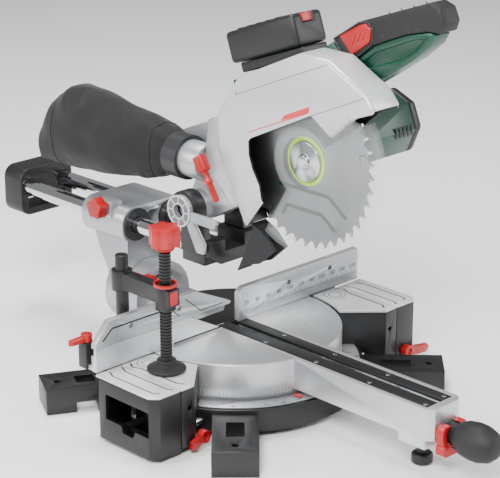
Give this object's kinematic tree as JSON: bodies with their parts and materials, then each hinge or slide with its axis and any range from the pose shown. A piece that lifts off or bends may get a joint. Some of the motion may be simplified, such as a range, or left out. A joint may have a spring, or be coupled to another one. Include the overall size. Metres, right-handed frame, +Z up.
{
  "type": "sliding mitre saw",
  "caption": "Bench-top cordless sliding mitre saw with swivelling table, tilting head on rails, pull-out extensions, sliding fence, clamp and dust bag.",
  "frame": {"origin": "centre of the footprint of the bounding box, on the floor", "axes": "+X along the fence to the operator's right, +Y away from the operator, +Z up"},
  "size_m": [0.504, 0.847, 0.542],
  "materials": {
    "bag_cloth": "woven",
    "black_paint": "black powder coat over a die casting",
    "black_plastic": "fine moulded grain",
    "black_rubber": "matt",
    "chrome": "polished",
    "clear_plastic": "clear",
    "green_plastic": "semi-gloss",
    "machined": "turned",
    "red_plastic": "semi-gloss",
    "silver_cast": "cast, satin",
    "silver_paint": "satin silver paint over a casting",
    "steel": "bright steel"
  },
  "bodies": {
    "base": {"base_casting": "black_paint", "table_plate_left": "silver_paint", "table_plate_right": "silver_paint", "mitre_scale": "silver_cast", "fence_left_lower": "silver_cast", "fence_right": "silver_cast", "fence_lock_block": "black_plastic"},
    "fence_slide": {"fence_left_upper": "silver_cast"},
    "fence_lock": {"fence_lock_lever": "red_plastic"},
    "extension_left": {"extension_left": "black_paint", "extension_plate_left": "silver_paint", "extension_rods_left": "steel"},
    "extension_lever_left": {"extension_lever_left": "red_plastic"},
    "extension_right": {"extension_right": "black_paint", "extension_plate_right": "silver_paint", "extension_rods_right": "steel"},
    "extension_lever_right": {"extension_lever_right": "red_plastic"},
    "clamp_post": {"clamp_post": "black_paint"},
    "clamp_arm": {"clamp_arm": "black_paint"},
    "clamp_pad": {"clamp_pad": "black_rubber"},
    "clamp_spindle": {"clamp_spindle": "steel", "clamp_knob": "red_plastic"},
    "turntable": {"turntable": "silver_cast", "turntable_rear_cover": "black_plastic", "kerf_insert_left": "black_plastic", "kerf_insert_right": "black_plastic", "rear_bracket": "silver_cast", "mitre_pointer": "red_plastic"},
    "mitre_grip": {"mitre_grip": "black_rubber"},
    "detent_lever": {"detent_lever": "red_plastic"},
    "front_foot": {"front_foot": "black_plastic"},
    "bevel_lever": {"bevel_lever": "red_plastic"},
    "bevel_bracket": {"bevel_bracket": "silver_cast", "rail_bushing_left": "black_plastic", "rail_bushing_right": "black_plastic"},
    "slide_lock_knob": {"slide_lock_knob": "red_plastic"},
    "rails": {"rail_left": "chrome", "rail_right": "chrome", "rear_cap": "black_plastic", "carrier": "black_paint"},
    "depth_stop": {"depth_stop_plate": "silver_cast"},
    "head": {"head_arm": "silver_cast", "upper_guard": "silver_paint", "motor_housing": "green_plastic", "motor_cap": "black_plastic", "handle": "green_plastic", "handle_grip": "black_rubber", "battery_base": "black_plastic", "dust_port": "silver_cast", "deflector": "black_rubber"},
    "depth_screw": {"depth_screw": "red_plastic"},
    "trigger": {"trigger": "red_plastic"},
    "lock_off_pad": {"lock_off_pad": "red_plastic"},
    "battery_pack": {"battery_pack": "black_plastic"},
    "battery_button": {"battery_button": "red_plastic"},
    "lower_guard": {"lower_guard": "clear_plastic"},
    "blade": {"blade": "steel", "blade_flange": "machined"},
    "dust_bag": {"dust_bag": "bag_cloth", "bag_collar": "black_plastic"}
  },
  "joints": [
    {"name": "fence_slide", "type": "slide", "parent": "base", "child": "fence_slide", "axis": [-1, 0, 0], "range_m": [0, 0.15]},
    {"name": "fence_lock", "type": "hinge", "parent": "base", "child": "fence_lock", "pos_m": [-0.22405, 0.0295, 0.123], "axis": [0, 0, -1], "range_deg": [0, 60]},
    {"name": "extension_left_slide", "type": "slide", "parent": "base", "child": "extension_left", "axis": [-1, 0, 0], "range_m": [0, 0.1]},
    {"name": "extension_left_lock", "type": "hinge", "parent": "base", "child": "extension_lever_left", "pos_m": [-0.15905, -0.1015, 0.017], "axis": [0, 1, 0], "range_deg": [0, 60]},
    {"name": "extension_right_slide", "type": "slide", "parent": "base", "child": "extension_right", "axis": [1, 0, 0], "range_m": [0, 0.1]},
    {"name": "extension_right_lock", "type": "hinge", "parent": "extension_right", "child": "extension_lever_right", "pos_m": [0.21045, -0.1015, 0.019], "axis": [0, -1, 0], "range_deg": [0, 60]},
    {"name": "clamp_lift_out", "type": "slide", "parent": "base", "child": "clamp_post", "axis": [0, 0, 1], "range_m": [0, 0.3]},
    {"name": "clamp_swing", "type": "hinge", "parent": "clamp_post", "child": "clamp_arm", "pos_m": [-0.16355, 0.0325, 0.182], "axis": [0, 0, -1], "range_deg": [-45, 45]},
    {"name": "clamp_screw", "type": "slide", "parent": "clamp_arm", "child": "clamp_pad", "axis": [0, 0, 1], "range_m": [0, 0.05]},
    {"name": "clamp_knob_turn", "type": "hinge", "parent": "clamp_pad", "child": "clamp_spindle", "pos_m": [-0.16355, -0.0465, 0.175], "axis": [0, 0, 1], "range_deg": [0, 4500]},
    {"name": "mitre_swivel", "type": "hinge", "parent": "base", "child": "turntable", "pos_m": [0.00145, 0.0055, 0.085], "axis": [0, 0, -1], "range_deg": [-47, 47]},
    {"name": "mitre_lock", "type": "hinge", "parent": "turntable", "child": "mitre_grip", "pos_m": [0.00145, -0.3845, 0.053], "axis": [0, 1, 0], "continuous": true},
    {"name": "detent_release", "type": "hinge", "parent": "turntable", "child": "detent_lever", "pos_m": [0.00145, -0.3475, 0.065], "axis": [-1, 0, 0], "range_deg": [0, 5], "stiffness_Nm_per_rad": 2},
    {"name": "front_foot_turn", "type": "hinge", "parent": "turntable", "child": "front_foot", "pos_m": [0.00145, -0.3115, 0.007], "axis": [0, 0, 1], "continuous": true},
    {"name": "bevel_lock", "type": "hinge", "parent": "turntable", "child": "bevel_lever", "pos_m": [-0.02815, 0.1365, 0.1146], "axis": [0, -1, 0], "range_deg": [0, 50]},
    {"name": "bevel_tilt", "type": "hinge", "parent": "turntable", "child": "bevel_bracket", "pos_m": [0.00145, 0.1715, 0.085], "axis": [0, -1, 0], "range_deg": [-2, 30]},
    {"name": "slide_lock", "type": "hinge", "parent": "bevel_bracket", "child": "slide_lock_knob", "pos_m": [-0.06055, 0.1985, 0.209], "axis": [1, 0, 0], "continuous": true},
    {"name": "rail_slide", "type": "slide", "parent": "bevel_bracket", "child": "rails", "axis": [0, 1, 0], "range_m": [-0.14, 0.095]},
    {"name": "depth_stop_swing", "type": "hinge", "parent": "rails", "child": "depth_stop", "pos_m": [-0.04855, 0.0505, 0.238], "axis": [1, 0, 0], "range_deg": [0, 30]},
    {"name": "head_chop", "type": "hinge", "parent": "rails", "child": "head", "pos_m": [0.00145, 0.0505, 0.238], "axis": [1, 0, 0], "range_deg": [0, 44], "stiffness_Nm_per_rad": 11, "springref_deg": -63.03},
    {"name": "depth_screw_turn", "type": "hinge", "parent": "head", "child": "depth_screw", "pos_m": [-0.04055, 0.009, 0.284], "axis": [0, 0.5333, 0.8459], "continuous": true},
    {"name": "trigger_pull", "type": "hinge", "parent": "head", "child": "trigger", "pos_m": [0.03945, -0.1735, 0.447], "axis": [-1, 0, 0], "range_deg": [0, 5], "stiffness_Nm_per_rad": 0.5, "springref_deg": -5.73},
    {"name": "lock_off_press", "type": "slide", "parent": "head", "child": "lock_off_pad", "axis": [1, 0, 0], "range_m": [0, 0.001], "stiffness_N_per_m": 800},
    {"name": "battery_release", "type": "slide", "parent": "head", "child": "battery_pack", "axis": [0, 0.9397, -0.342], "range_m": [0, 0.08]},
    {"name": "battery_button_press", "type": "slide", "parent": "battery_pack", "child": "battery_button", "axis": [0, 0.9397, -0.342], "range_m": [0, 0.002], "stiffness_N_per_m": 1500},
    {"name": "lower_guard_turn", "type": "hinge", "parent": "head", "child": "lower_guard", "pos_m": [0.00145, -0.1185, 0.3286], "axis": [1, 0, 0], "range_deg": [-137, 0]},
    {"name": "blade_spin", "type": "hinge", "parent": "head", "child": "blade", "pos_m": [0.00145, -0.1185, 0.3286], "axis": [1, 0, 0], "continuous": true},
    {"name": "bag_pull_off", "type": "slide", "parent": "head", "child": "dust_bag", "axis": [0, 1, 0], "range_m": [0, 0.03]}
  ],
  "couplings": [
    {"joint": "lower_guard_turn", "follows": "head_chop", "ratio": -3.09},
    {"joint": "clamp_knob_turn", "follows": "clamp_screw", "rad_per_m": 1570.8}
  ]
}
